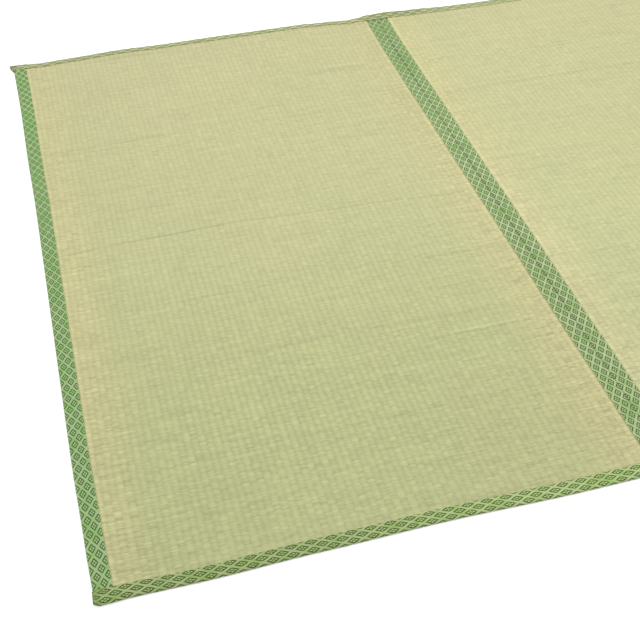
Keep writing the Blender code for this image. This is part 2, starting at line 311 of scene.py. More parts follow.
# Studio: how many times brighter than its own colour a flat surface looks, the even light
# from all round, one soft light above the carpet's middle, and the floor
STUDIO_BRIGHTNESS = 2.0
SKY_STRENGTH = 1.49
KEY_PLACE = (0.05, 0.48, 2.2)
KEY_SIZE = 1.6
KEY_POWER = 28.0
FLOOR_TONE = 0.90
FLOOR_HALF_SIZE = 60.0
FLOOR_DROP = 0.0003


def add_object(name, data):
    """A new object, put into the scene."""
    item = bpy.data.objects.new(name, data)
    bpy.context.scene.collection.objects.link(item)
    return item


def ease(share):
    """0 to 1, with a soft start and end."""
    share = np.clip(share, 0.0, 1.0)
    return share * share * (3.0 - 2.0 * share)


def straight(share):
    """0 to 1, in a straight line."""
    return np.clip(share, 0.0, 1.0)


def look_up(table, at, column, blend=ease):
    """A table's values between its rows, held constant past its ends."""
    rows = np.array(table)
    at = np.asarray(at, float)
    low = np.clip(np.searchsorted(rows[:, 0], at) - 1, 0, len(rows) - 2)
    share = blend((at - rows[low, 0]) / (rows[low + 1, 0] - rows[low, 0]))
    return rows[low, column] + (rows[low + 1, column] - rows[low, column]) * share


def fall(depth, flat_to, zero_at):
    """1 up to flat_to, then straight down to 0 at zero_at."""
    return np.clip((zero_at - depth) / (zero_at - flat_to), 0.0, 1.0)


def back_lift(u, v):
    lift = look_up(BACK_EDGE, u, BACK_LIFT_COLUMN)
    return lift * look_up(LIFT_FADE, HALF_LENGTH - v, 1, straight)


def place(u, v, z):
    """Real places of plan points at the height z in their own stack of layers."""
    u, v, z = np.broadcast_arrays(u, v, z)
    outer_share = np.abs(u) / HALF_WIDTH
    outer_shift = np.where(u < 0, look_up(LEFT_EDGE, v, 1), -look_up(RIGHT_EDGE, v, 1))
    x = u + outer_share * outer_shift + (1.0 - outer_share) * look_up(JOINT_LINE, v, 1)
    back_share = np.maximum(v / HALF_LENGTH, 0.0) ** 2
    front_share = np.maximum(-v / HALF_LENGTH, 0.0) ** 2
    y = v - back_share * look_up(BACK_EDGE, u, 1) + front_share * look_up(FRONT_EDGE, u, 1)
    return np.stack([x, y, z + back_lift(u, v)], axis=-1)


def side_depth(u):
    """Distance in from the nearest long tape's outer edge or from the seam."""
    return np.minimum(np.abs(u), HALF_WIDTH - np.abs(u))


def on_side_tape(u):
    """How far the cloth rests on a long tape's lower flap, 0 to 1."""
    return fall(side_depth(u), SIDE_TAPE_WIDTH + REST_MARGIN, DROP_END)


def on_end_tape(v):
    """How far the cloth rests on an end tape's lower flap, 0 to 1."""
    return fall(HALF_LENGTH - np.abs(v), END_TAPE_REACH + REST_MARGIN, DROP_END)


def over_side_tape(u):
    """How far an end tape's upper flap lies over a long tape's, 0 to 1."""
    return fall(side_depth(u), STEP_START, STEP_END)


def end_tape_height(u):
    return FOLDED_HEIGHT + LAYER_STEP * (on_side_tape(u) + over_side_tape(u))


def ripple(at, seed, *lengths):
    """A soft unevenness between about -1 and 1, made of a few waves of the given lengths."""
    total = np.zeros_like(np.asarray(at, float))
    for number, length in enumerate(lengths):
        phase = math.fmod(seed * TURN_BY_SEED + number * TURN_BY_WAVE, 2.0 * math.pi)
        total = total + np.sin(2.0 * math.pi * np.asarray(at) / length + phase)
    return total / len(lengths)


def divided(marks, longest_step):
    """The marks, with evenly spaced stations between those that lie far apart."""
    stations = [np.array(marks[:1], float)]
    for low, high in zip(marks, marks[1:]):
        count = max(1, math.ceil((high - low) / longest_step - TINY))
        stations.append(np.linspace(low, high, count + 1)[1:])
    return np.concatenate(stations)


class Cloth:
    """Points, faces and cloth-map places of one piece."""

    def __init__(self):
        self.points = []
        self.places = []
        self.faces = []
        self.count = 0

    def add(self, points, places):
        """Adds an array of points with their map places, and returns their numbers."""
        shape = points.shape[:-1]
        self.points.append(points.reshape(-1, 3))
        self.places.append(places.reshape(-1, 2))
        numbers = np.arange(self.count, self.count + self.points[-1].shape[0])
        self.count += len(numbers)
        return numbers.reshape(shape)

    def grid(self, numbers, turned=False):
        """Cells between neighbouring rows of numbers."""
        corners = [numbers[:-1, :-1], numbers[:-1, 1:], numbers[1:, 1:], numbers[1:, :-1]]
        if turned:
            corners.reverse()
        cells = np.stack(corners, axis=-1).reshape(-1, 4)
        self.faces.extend(cells.tolist())

    def stitch(self, lower, upper, turned=False):
        """Triangles between two rims that span the same stretch in different steps."""
        low = np.linspace(0.0, 1.0, len(lower))
        high = np.linspace(0.0, 1.0, len(upper))
        a, b = 0, 0
        while a < len(lower) - 1 or b < len(upper) - 1:
            step_lower = b == len(upper) - 1
            if a < len(lower) - 1 and not step_lower:
                step_lower = low[a + 1] <= high[b + 1]
            corner = lower[a + 1] if step_lower else upper[b + 1]
            face = (int(lower[a]), int(corner), int(upper[b]))
            self.faces.append(face[::-1] if turned else face)
            a, b = (a + 1, b) if step_lower else (a, b + 1)

    def make(self, name, material, marks=None):
        points = np.concatenate(self.points)
        places = np.concatenate(self.places)
        mesh = bpy.data.meshes.new(name)
        mesh.from_pydata(points.tolist(), [], self.faces)
        layer = mesh.uv_layers.new(name=CLOTH_MAP)
        corners = np.zeros(len(mesh.loops), dtype=np.int32)
        mesh.loops.foreach_get("vertex_index", corners)
        layer.data.foreach_set("uv", places[corners].astype(np.float32).ravel())
        # marks, where given, are painted light and shade for each point, which the material
        # reads
        if marks is not None:
            attribute = mesh.attributes.new(PAINTED_FOLD_LIGHT, "FLOAT", "POINT")
            attribute.data.foreach_set("value", marks.astype(np.float32))
        mesh.shade_smooth()
        mesh.materials.append(material)
        return add_object(name, mesh)


# Woven mats


def fold_shape(u, v):
    """Height of the fold across the left mat, and the light and shade painted on it.

    The fold is a soft ridge, cracked along its top. Painted shade darkens its crack, and a
    painted highlight lightens a strip on its front side.
    """
    room = side_depth(u) - SIDE_TAPE_WIDTH - REST_MARGIN
    along = ease(room / FOLD_END_FADE) * (u < 0.0)
    offset = v - look_up(FOLD_LINE, u, 1)
    ridge = (1.0 - straight(np.abs(offset) / FOLD_HALF_WIDTH)) ** FOLD_SHARPNESS
    crack = ease(1.0 - np.abs(offset) / CRACK_HALF_WIDTH)
    painted_lit = ease(1.0 - np.abs(offset + LIT_OFFSET) / LIT_HALF_WIDTH)
    height = along * (FOLD_RISE * ridge - CRACK_DEPTH * crack)
    # Painted light and shade: the painted highlight on the lit strip, less the painted shade in
    # the crack
    return height, along * (PAINTED_LIT_LOOK * painted_lit - look_up(CRACK_PAINTED_SHADE, u, 1) * crack)


def faint_shape(u, v):
    """Height of the faint creases."""
    height = np.zeros_like(u)
    for low, high, v_low, v_high, half_width, _, rise in FAINT_CREASES:
        along = ease((u - low) / FAINT_END) * ease((high - u) / FAINT_END)
        line = v_low + (v_high - v_low) * straight((u - low) / (high - low))
        height = height + rise * along * ease(1.0 - np.abs(v - line) / (2.0 * half_width))
    return height


def mat_rows(u, is_folded):
    """Where the rows of a mat's mesh cross the column u, from front to back."""
    if not is_folded:
        return divided([-MAT_END, MAT_END], MAT_ROW_STEP)
    line = float(look_up(FOLD_LINE, u, 1))
    before = [line - distance for distance in FOLD_ROWS]
    behind = [line + distance for distance in FOLD_ROWS[::-1]]
    front = np.linspace(-MAT_END, before[0], ROWS_BESIDE_FOLD)[:-1]
    back = np.linspace(behind[-1], MAT_END, ROWS_BESIDE_FOLD)[1:]
    return np.concatenate([front, before, [line], behind, back])


def rib_profile(share):
    """A rib's height over its valleys, 0 to 1, across its width."""
    return 1.0 - np.abs(2.0 * share - 1.0) ** RIB_ROUNDNESS


def rush_mat(name, side, is_folded, seed):
    """One woven mat: its ribbed upper side, a plain underside and the edges between them."""
    low, high = (-MAT_OUTER, -MAT_INNER) if side < 0 else (MAT_INNER, MAT_OUTER)
    count = RIBS_PER_MAT * COLUMNS_PER_RIB
    columns = np.linspace(low, high, count + 1)
    v = np.stack([mat_rows(u, is_folded) for u in columns], axis=1)
    u = np.broadcast_to(columns, v.shape)
    share = np.arange(count + 1) % COLUMNS_PER_RIB / COLUMNS_PER_RIB
    rib = np.arange(count + 1) // COLUMNS_PER_RIB

    fold, fold_painted_light = fold_shape(u, v)
    floor = LAYER_STEP * (on_side_tape(u) + on_end_tape(v)) + fold
    uneven = 1.0 + RIB_TO_RIB * np.sin(rib * TURN_BY_RIB + seed)
    uneven = uneven + ALONG_RIB * ripple(v, seed, *RIB_WAVES)
    crest = RUSH_THICKNESS - RIB_RISE * (1.0 - rib_profile(share) * uneven)
    free = 1.0 - np.maximum(on_side_tape(u), on_end_tape(v))
    waves = ripple(v + MAT_WAVE_SLANT * u, seed, *MAT_WAVES_ALONG)
    waves = MAT_WAVE * free * waves * ripple(u, seed, *MAT_WAVES_ACROSS)

    cloth = Cloth()
    plan = np.stack([u, v], axis=-1)
    top = cloth.add(place(u, v, floor + crest + waves + faint_shape(u, v)), plan)
    under_rows = np.unique(np.round(np.linspace(0, len(v) - 1, UNDER_ROWS)).astype(int))
    under_columns = np.arange(0, count + 1, COLUMNS_PER_RIB * RIBS_PER_UNDER_COLUMN)
    pick = np.ix_(under_rows, under_columns)
    under = cloth.add(place(u[pick], v[pick], np.maximum(floor[pick], 0.0)), plan[pick])

    cloth.grid(top)
    cloth.grid(under, turned=True)
    cloth.stitch(under[0], top[0])
    cloth.stitch(under[-1], top[-1], turned=True)
    cloth.stitch(under[:, 0], top[:, 0], turned=True)
    cloth.stitch(under[:, -1], top[:, -1])
    # The fold's painted light and shade, for the top's and the underside's points
    marks = np.concatenate([fold_painted_light.ravel(), fold_painted_light[pick].ravel()])
    return cloth.make(name, MATERIALS["rush"], marks)


# Folded tapes


def arc(centre_depth, centre_z, radius, start, end, steps):
    """Points (depth, z) along an arc, angles in degrees."""
    angles = np.radians(np.linspace(start, end, steps + 1))
    return np.stack([centre_depth + radius * np.cos(angles),
                     centre_z + radius * np.sin(angles)], axis=-1)


def run(start, end, steps):
    """Points (depth, z) along a straight line."""
    return np.linspace(start, end, steps + 1)


def tape_section(width, height, radius):
    """Closed outline (depth, z) of a folded tape, and how far along the cloth each point is.

    It starts at the lower flap's edge and goes round the fold to the upper flap's edge, then
    back inside. The last value is 1 on the outer side and 0 on the inner one.
    """
    hem = TAPE_THICKNESS / 2
    end = width - hem
    inner_radius = radius - TAPE_THICKNESS
    outer = np.concatenate([
        run((end, 0.0), (radius, 0.0), LOWER_FLAP_STEPS)[:-1],
        arc(radius, radius, radius, -90.0, -180.0, FOLD_STEPS),
        arc(radius, height - radius, radius, -180.0, -270.0, FOLD_STEPS),
        run((radius, height), (end, height), UPPER_FLAP_STEPS)[1:],
    ])
    inner = np.concatenate([
        arc(end, height - hem, hem, 90.0, -90.0, HEM_STEPS)[1:-1],
        run((end, height - TAPE_THICKNESS), (radius, height - TAPE_THICKNESS),
            INNER_FLAP_STEPS)[:-1],
        arc(radius, height - radius, inner_radius, -270.0, -180.0, INNER_FOLD_STEPS),
        arc(radius, radius, inner_radius, -180.0, -90.0, INNER_FOLD_STEPS),
        run((radius, TAPE_THICKNESS), (end, TAPE_THICKNESS), LOWER_FLAP_STEPS)[1:],
        arc(end, hem, hem, 90.0, -90.0, HEM_STEPS)[1:-1],
    ])
    steps = np.linalg.norm(np.diff(outer, axis=0), axis=1)
    along_cloth = np.concatenate([[0.0], np.cumsum(steps)])
    before_nose = LOWER_FLAP_STEPS + FOLD_STEPS
    nose = 0.5 * (along_cloth[before_nose] + along_cloth[before_nose + 1])
    outer_cloth = along_cloth - nose
    sign = np.where(inner[:, 1] > height / 2, 1.0, -1.0)
    inner_cloth = sign * (inner[:, 0] + outer_cloth[-1] - end)
    return np.concatenate([outer, inner]), np.concatenate([outer_cloth, inner_cloth])


def close_ring(numbers):
    """The rows of numbers, each with its first one again at its end."""
    return np.concatenate([numbers, numbers[:, :1]], axis=1)


def soften(depth, z, along, width, height, seed):
    """The flaps' small unevenness: a straying inner edge and a softly puffed upper flap."""
    reach = np.clip(depth / width, 0.0, 1.0)
    upper = np.clip((z - height / 2) / (height / 2), 0.0, 1.0)
    stray = EDGE_STRAY * reach ** 2 * ripple(along, seed, *STRAY_WAVES)
    puff = FLAP_PUFF * np.sin(math.pi * reach) * ripple(along, seed + PUFF_SEED, *PUFF_WAVES)
    press = EDGE_PRESS * ease((reach - PRESS_FROM) / (1.0 - PRESS_FROM))
    press = press * (z > height - TAPE_THICKNESS / 2)
    return depth + stray, z + upper * puff - press


def end_wall(cloth, numbers, turned):
    """Closes the open end of a folded tape with a narrow band of faces along its thickness."""
    outer_count = LOWER_FLAP_STEPS + 2 * (FOLD_STEPS + 1) + UPPER_FLAP_STEPS
    outer = numbers[:outer_count]
    inner = numbers[outer_count:][::-1]
    cloth.stitch(outer, inner, turned=turned)


def long_tape(name, side, at_seam, seed):
    """Tape folded over a mat's long edge, on its outer side or at the seam."""
    width = JOINT_TAPE_WIDTH if at_seam else SIDE_TAPE_WIDTH
    radius = JOINT_FOLD_RADIUS if at_seam else SIDE_FOLD_RADIUS
    outline, along_cloth = tape_section(width, FOLDED_HEIGHT, radius)
    back = [HALF_LENGTH - DROP_END, HALF_LENGTH - END_TAPE_REACH, MAT_END]
    v = divided([-mark for mark in back[::-1]] + back, LONG_TAPE_STEP)[:, None]
    depth, z = soften(outline[:, 0], outline[:, 1], v, width, FOLDED_HEIGHT, seed)
    u = side * (SEAM + depth) if at_seam else side * (HALF_WIDTH - depth)
    points = place(u, v, z + LAYER_STEP * on_end_tape(v))
    places = np.stack(np.broadcast_arrays(v, along_cloth), axis=-1)

    cloth = Cloth()
    numbers = cloth.add(points, places)
    is_turned = (side > 0) == at_seam
    cloth.grid(close_ring(numbers), turned=is_turned)
    end_wall(cloth, numbers[0], turned=not is_turned)
    end_wall(cloth, numbers[-1], turned=is_turned)
    return cloth.make(name, MATERIALS["joint_tape" if at_seam else "side_tape"])


def end_tape_stations():
    """Stations of an end tape from its left to its right wall."""
    right = [0.0, STEP_START, STEP_END, DROP_END, HALF_WIDTH - DROP_END,
             HALF_WIDTH - STEP_END, HALF_WIDTH - STEP_START, CORNER_START]
    middle = divided([-u for u in right[::-1]] + right[1:], END_TAPE_STEP)[1:-1]
    corner = divided([CORNER_START, END_WALL], CORNER_STEP)
    return np.concatenate([-corner[::-1], middle, corner])


def end_tape(name, is_back, seed):
    """Tape folded over both mats' ends and over the ends of the long tapes."""
    sign = 1.0 if is_back else -1.0
    skew = BACK_TIP_SKEW if is_back else FRONT_TIP_SKEW
    corner_depth = BACK_CORNER_DEPTH if is_back else FRONT_CORNER_DEPTH
    angles = np.radians(np.linspace(0.0, 90.0, TIP_STEPS + 1))[1:]
    tip = END_WALL + TIP_WALL * np.sin(angles)
    tip_squeeze = np.cos(angles)
    stations = end_tape_stations()
    squeezed = np.concatenate([tip_squeeze[::-1], np.ones(len(stations)), tip_squeeze])
    stations = np.concatenate([-tip[::-1], stations, tip])

    edge = BACK_EDGE if is_back else FRONT_EDGE
    widths = look_up(edge, stations, BACK_WIDTH_COLUMN if is_back else FRONT_WIDTH_COLUMN)

    rings = []
    for u, width, squeeze in zip(stations, widths, squeezed):
        height = float(end_tape_height(min(abs(u), HALF_WIDTH)))
        outline, along_cloth = tape_section(width, height, END_FOLD_RADIUS)
        depth, z = soften(outline[:, 0], outline[:, 1], u, width, height, seed)
        z = z + RIB_PRINT * np.cos(2.0 * math.pi * u / RIB_PITCH) * (z > height / 2)
        middle = TIP_HEIGHT / 2
        z = middle + (z - middle) * (1.0 - TIP_CLOSING * (1.0 - squeeze))
        corner = ease((abs(u) - CORNER_START) / (END_WALL - CORNER_START))
        near_nose = np.clip(1.0 - depth / (0.5 * width), 0.0, 1.0)
        depth = depth + corner_depth * corner ** 2 * near_nose
        lean_share = ease((abs(u) - CORNER_START) / CORNER_LENGTH)
        lean = math.copysign(skew, u) * lean_share * (1.0 - depth / width)
        points = place(u + lean, sign * (HALF_LENGTH - depth), np.maximum(z, 0.0))
        places = np.stack(np.broadcast_arrays(u + lean, along_cloth), axis=-1)
        rings.append((points, places))

    cloth = Cloth()
    numbers = cloth.add(np.stack([ring[0] for ring in rings]),
                        np.stack([ring[1] for ring in rings]))
    cloth.grid(close_ring(numbers), turned=not is_back)
    end_wall(cloth, numbers[0], turned=is_back)
    end_wall(cloth, numbers[-1], turned=not is_back)
    return cloth.make(name, MATERIALS["back_tape" if is_back else "front_tape"])


# Materials


def set_inputs(node, values):
    for name, value in values.items():
        node.inputs[name].default_value = value


class Graph:
    """Builds a material's nodes by nested calls, each of which returns an output socket."""

    def __init__(self, name):
        self.material = bpy.data.materials.new(name)
        self.material.use_nodes = True
        self.nodes = self.material.node_tree.nodes
        self.links = self.material.node_tree.links
        self.shader = self.nodes["Principled BSDF"]

    def feed(self, socket, value):
        if isinstance(value, bpy.types.NodeSocket):
            self.links.new(value, socket)
        else:
            socket.default_value = value

    def math(self, operation, *values):
        node = self.nodes.new("ShaderNodeMath")
        node.operation = operation
        for socket, value in zip(node.inputs, values):
            self.feed(socket, value)
        return node.outputs[0]

    def add(self, a, b):
        return self.math("ADD", a, b)

    def times(self, first, *others):
        product = first
        for value in others:
            product = self.math("MULTIPLY", product, value)
        return product

    def less(self, a, b):
        return self.math("SUBTRACT", a, b)

    def divided(self, a, b):
        return self.math("DIVIDE", a, b)

    def away(self, value, place):
        """How far the value lies from the place, to either side."""
        return self.math("ABSOLUTE", self.less(value, place))

    def plus(self, start, *parts):
        """The start value plus each part's value times its share."""
        total = start
        for value, share in parts:
            total = self.add(total, self.times(value, share))
        return total

    def slope(self, value, low, high):
        """0 at low, 1 at high, eased between, whichever of the two is the larger."""
        node = self.nodes.new("ShaderNodeMapRange")
        node.interpolation_type = "SMOOTHSTEP"
        self.feed(node.inputs["Value"], value)
        first, last = (0.0, 1.0) if low < high else (1.0, 0.0)
        set_inputs(node, {
            "From Min": min(low, high),
            "From Max": max(low, high),
            "To Min": first,
            "To Max": last,
        })
        return node.outputs["Result"]

    def attribute(self, name):
        node = self.nodes.new("ShaderNodeAttribute")
        node.attribute_name = name
        return node.outputs["Fac"]

    def vector(self, x, y):
        node = self.nodes.new("ShaderNodeCombineXYZ")
        self.feed(node.inputs[0], x)
        self.feed(node.inputs[1], y)
        return node.outputs[0]

    def cloth_map(self):
        """The two values of the cloth map."""
        node = self.nodes.new("ShaderNodeUVMap")
        node.uv_map = CLOTH_MAP
        parts = self.nodes.new("ShaderNodeSeparateXYZ")
        self.links.new(node.outputs["UV"], parts.inputs[0])
        return parts.outputs["X"], parts.outputs["Y"]

    def noise(self, x, y, scales, detail=1.0):
        """Soft noise between about 0 and 1. The scales say how often it changes in x and y."""
        node = self.nodes.new("ShaderNodeTexNoise")
        node.noise_dimensions = "2D"
        place = self.vector(self.times(x, scales[0]), self.times(y, scales[1]))
        self.feed(node.inputs["Vector"], place)
        set_inputs(node, {"Scale": 1.0, "Detail": detail, "Roughness": 0.5})
        return node.outputs[0]

    def swing(self, x, y, scales, detail=1.0):
        """The same noise, to either side of zero."""
        return self.less(self.noise(x, y, scales, detail), 0.5)

    def chance(self, x, y):
        """A random value from 0 to 1 for each pair of whole numbers."""
        node = self.nodes.new("ShaderNodeTexWhiteNoise")
        node.noise_dimensions = "2D"
        self.feed(node.inputs["Vector"], self.vector(x, y))
        return node.outputs["Value"]

    def mix(self, share, first, second):
        node = self.nodes.new("ShaderNodeMix")
        node.data_type = "RGBA"
        self.feed(node.inputs[0], share)
        self.feed(node.inputs[6], first)
        self.feed(node.inputs[7], second)
        return node.outputs[2]

    def shade(self, colour, factor):
        """The colour, made lighter or darker by the factor."""
        node = self.nodes.new("ShaderNodeVectorMath")
        node.operation = "SCALE"
        self.feed(node.inputs[0], colour)
        self.feed(node.inputs["Scale"], factor)
        return node.outputs[0]

    def finish(self, colour, height, bump_distance, bump_strength):
        """Gives the shader its colour and a fine relief, and returns the material."""
        bump = self.nodes.new("ShaderNodeBump")
        set_inputs(bump, {"Strength": bump_strength, "Distance": bump_distance})
        self.links.new(height, bump.inputs["Height"])
        self.links.new(bump.outputs[0], self.shader.inputs["Normal"])
        self.feed(self.shader.inputs["Base Color"], colour)
        return self.material


def seen(red, green, blue):
    """Colour of a surface that looks like this, 0 to 255, under the studio's bright light."""
    light = []
    for value in (red, green, blue):
        share = value / 255.0
        full = share / 12.92 if share <= 0.04045 else ((share + 0.055) / 1.055) ** 2.4
        light.append(full / STUDIO_BRIGHTNESS)
    return (*light, 1.0)


# Rush weave: the width of one visible rush, and the mats' colours
RUSH_PITCH = 0.0025
STRAW = seen(206, 201, 144)
GREEN_STRAW = seen(193, 198, 138)
PALE_STRAW = seen(210, 207, 172)

# Where the mats' look changes, each row from where the change starts to where it is full.
# By the distance from the nearest tape's outer edge or the seam:
STRONG_WEAVE = (0.110, 0.035)
STRAW_EDGE = (0.125, 0.035)
PALE_MIDDLE = (0.035, 0.140)
# The next row: where across the mat the ribs' painted relief shading grows stronger
CLEAR_RIBS = (0.10, 0.30)
TAPE_RIM = (0.040, 0.030)

# By the place across, u:
LEFT_MAT = (0.01, 0.00)
BY_JOINT = (-0.14, -0.04)
JOINT_CORNER_ACROSS = (-0.36, -0.20)

# By the place along, v:
NEAR_FRONT = (0.0, -0.85)
RIGHT_FRONT = (0.50, -0.30)
LEFT_BACK = (-0.75, 0.60)
JOINT_CORNER_ALONG = (-0.45, -0.70)
TOWARDS_BACK = (-0.95, 0.95)
PALE_BACK = (-0.50, 0.10)

# By the distance from where the ribs' painted relief shading shows best, which is this far
# along:
CLEAREST = -0.40
CLEAR_ALONG = (0.50, 0.10)

# Noise that runs on over all the ribs, for long lines, bands across the mat and small
# blotches: how often it changes in a metre across and along, how fine its detail is, and how
# much of it shows
MAT_NOISE = (
    # scales, detail, share
    ((9.0, 330.0), 1.0, 0.15),
    ((3.0, 55.0), 2.0, 0.10),
    ((120.0, 150.0), 1.0, 0.18),
)

# Large soft clouds of straw colour
CLOUD_SCALES = (3.1, 2.3)
CLOUD_DETAIL = 2.0

# Noise that is another one for each rib: its step from rib to rib, and how often it changes in
# a metre along the rib
STRETCHES = (3.71, 95.0)
WHOLE_RIBS = (5.37, 8.0)
# The next noise sets how the painted shade in the valleys changes along each rib
VALLEY_SHADE_NOISE = (2.17, 40.0)

# The same for each rush, along it and to the next one, and the step to those on the odd ribs
RUSH_CHANGES = 7.0
RUSH_STEP = 7.77
ODD_RIB_STEP = 31.7

# Which crossings of rush and rib stand out lighter, by a random value of their own, and what
# makes it another value than the one for their tones
STANDING_OUT = (0.965, 0.975)
OTHER_RIB = 1.7
OTHER_ROW = 0.3

# Painted shade in a valley between ribs and in a gap between rushes, by the distance from its
# middle, 0.5 at the middle of the rib or rush
VALLEY = (0.20, 0.0)
RUSH_GAP = (0.32, 0.0)


def painted_crease_light(graph, u, v):
    """Painted light and shade of the faint creases: how much lighter they look, darker where
    negative.
    """
    total = 0.0
    for low, high, v_low, v_high, half_width, lightness, _ in FAINT_CREASES:
        tilt = (v_high - v_low) / (high - low)
        line = graph.add(graph.times(graph.less(u, low), tilt), v_low)
        across = graph.slope(graph.away(v, line), half_width, 0.0)
        start = graph.slope(u, low, low + FAINT_END)
        end = graph.slope(u, high, high - FAINT_END)
        total = graph.plus(total, (graph.times(across, start, end), lightness))
    return total


def rush_material():
    """Ribs along v, each crossed by rushes that run on from rib to rib."""
    graph = Graph("woven_rush")
    u, v = graph.cloth_map()
    start = graph.times(graph.math("SIGN", u), MAT_INNER)
    ribs = graph.divided(graph.less(u, start), RIB_PITCH)
    rib = graph.math("FLOOR", ribs)
    across = graph.math("FRACT", ribs)
    is_odd = graph.times(graph.math("FRACT", graph.times(rib, 0.5)), 2.0)
    rows = graph.add(graph.divided(v, RUSH_PITCH), graph.times(is_odd, 0.5))
    row = graph.math("FLOOR", rows)
    along = graph.math("FRACT", rows)

    # Places on the mats
    to_middle = graph.away(graph.math("ABSOLUTE", u), MAT_WIDTH / 2)
    from_tape = graph.less(MAT_WIDTH / 2, to_middle)
    near_tape = graph.slope(from_tape, *STRONG_WEAVE)
    near_front = graph.slope(v, *NEAR_FRONT)
    is_left = graph.slope(u, *LEFT_MAT)
    right_front = graph.times(graph.less(1.0, is_left), graph.slope(v, *RIGHT_FRONT))
    left_back = graph.times(is_left, graph.slope(v, *LEFT_BACK))
    by_joint = graph.times(is_left, graph.slope(u, *BY_JOINT))
    joint_corner = graph.times(
        is_left, graph.slope(u, *JOINT_CORNER_ACROSS), graph.slope(v, *JOINT_CORNER_ALONG))
    straw_edge = graph.slope(from_tape, *STRAW_EDGE)

    # Colour: greener inside, straw along the tapes and to the back, paler in the middle
    cloud = graph.swing(u, v, CLOUD_SCALES, CLOUD_DETAIL)
    straw_share = graph.plus(
        0.0, (straw_edge, 0.75), (graph.slope(v, *TOWARDS_BACK), 0.75), (cloud, 0.35),
        (by_joint, 0.25), (joint_corner, 0.28))
    straw_share = graph.math("MAXIMUM", graph.math("MINIMUM", straw_share, 1.0), 0.0)
    tone = graph.mix(straw_share, GREEN_STRAW, STRAW)
    pale = graph.times(graph.slope(v, *PALE_BACK), graph.slope(from_tape, *PALE_MIDDLE))
    pale = graph.math("MAXIMUM", pale, right_front)
    tone = graph.mix(graph.times(pale, 0.15), tone, PALE_STRAW)

    # Tones: each rush all along its length, where it crosses one rib, stretches of one rib and
    # whole ribs
    along_rush = graph.plus(0.0, (u, RUSH_CHANGES), (is_odd, ODD_RIB_STEP))
    rush = graph.swing(along_rush, row, (1.0, RUSH_STEP))
    crossing = graph.less(graph.chance(rib, row), 0.5)
    stretch = graph.swing(rib, v, STRETCHES)
    whole_rib = graph.swing(rib, v, WHOLE_RIBS)
    other = graph.chance(graph.times(rib, OTHER_RIB), graph.add(row, OTHER_ROW))
    stands_out = graph.slope(other, *STANDING_OUT)

    # Painted shade: the ribs lighter on their crests and darker towards their soft valleys,
    # a painted shade in the valleys, uneven along each rib, and in the gaps between rushes
    rib_shading = graph.math("COSINE", graph.times(across, 2.0 * math.pi))
    valley_shade = graph.slope(graph.less(0.5, graph.away(across, 0.5)), *VALLEY)
    uneven = graph.noise(rib, v, VALLEY_SHADE_NOISE)
    gap_shade = graph.slope(graph.less(0.5, graph.away(along, 0.5)), *RUSH_GAP)

    change = graph.plus(
        0.0, (rush, 0.26), (crossing, 0.12), (stretch, 0.17), (whole_rib, 0.10),
        # The gaps between rushes are darkened with painted shade
        (stands_out, 0.10), (gap_shade, -0.045))
    for scales, detail, share in MAT_NOISE:
        change = graph.plus(change, (graph.swing(u, v, scales, detail), share))

    show = graph.plus(0.80, (near_tape, 0.45), (near_front, 0.25))
    clear = graph.times(
        graph.slope(graph.away(v, CLEAREST), *CLEAR_ALONG), graph.slope(from_tape, *CLEAR_RIBS))
    factor = graph.plus(
        1.0, (change, show), (near_front, -0.04), (straw_edge, 0.01), (joint_corner, -0.01),
        (graph.slope(from_tape, *TAPE_RIM), 0.06), (right_front, 0.06),
        # The ribs' painted relief shading, and the painted shade in their valleys
        (rib_shading, graph.plus(-0.030, (clear, -0.014))), (graph.times(valley_shade, uneven), -0.040),
        (left_back, graph.plus(-0.028, (by_joint, -0.025))),
        # Painted light and shade of the faint creases, and of the fold's crack and lit strip
        (painted_crease_light(graph, u, v), 1.3), (graph.attribute(PAINTED_FOLD_LIGHT), 0.15))

    rounding = graph.math("SINE", graph.times(along, math.pi))
    set_inputs(graph.shader, {"Roughness": 0.60, "Specular IOR Level": 0.30})
    colour = graph.shade(tone, factor)
    return graph.finish(colour, rounding, bump_distance=0.0004, bump_strength=0.35)


# Tape pattern: thread width, and the size of one fleck of colour along and across
THREAD = 0.00080
FLECK_ALONG = 0.0017
FLECK_ACROSS = 0.0013

# Parts of one diamond, each from where it starts to where it is full. By the distance from the
# diamond's middle, 1 half way to the next one:
INSIDE = (0.72, 0.66)
QUARTER = (0.46, 0.38)
CROSS_ARM = (0.54, 0.46)
OUTLINE_OUTSIDE = (0.74, 0.67)
OUTLINE_INSIDE = (0.44, 0.52)
LATTICE_MIDDLE = (0.84, 0.96)
LATTICE_BOLD = (0.66, 0.80)
LATTICE_RAISED = (0.56, 0.74)

# By the distance from the cross that quarters it:
QUARTER_BESIDE_CROSS = (0.07, 0.16)
CROSS_LINE = (0.15, 0.07)
OUTLINE_CORNER = (0.30, 0.55)

# Where the outline is broken by flecks of colour, by a fleck's random value
OUTLINE_BROKEN = (0.85, 0.35)

# Strips along a tape's upper edge, by how far they lie in from it: the selvedge, and the
# edge's wall, which is painted lighter as light against its shade; and the shadow in the seam,
# by the distance from the fold
SELVEDGE_START = 0.0020
SELVEDGE_FULL = 0.0008
EDGE_WALL_PAINTED_LIGHT = 0.0004
SEAM_SHADOW = (0.0060, 0.0018)

# Green patches: how often they change in a metre, and by which noise they start and are full
PATCH_SCALES = (45.0, 45.0)
PATCH = (0.45, 0.70)

# Where along a tape the cloth grows greener and its lattice bolder
FRESHER_ALONG = (0.1, 0.8)
BOLDER_ALONG = (0.0, 0.7)

# Where the plain hem starts and is full, past the place that each end tape gives; its darker
# colour is partly painted shade of the open end
HEM_START = -0.002
HEM_FULL = 0.004


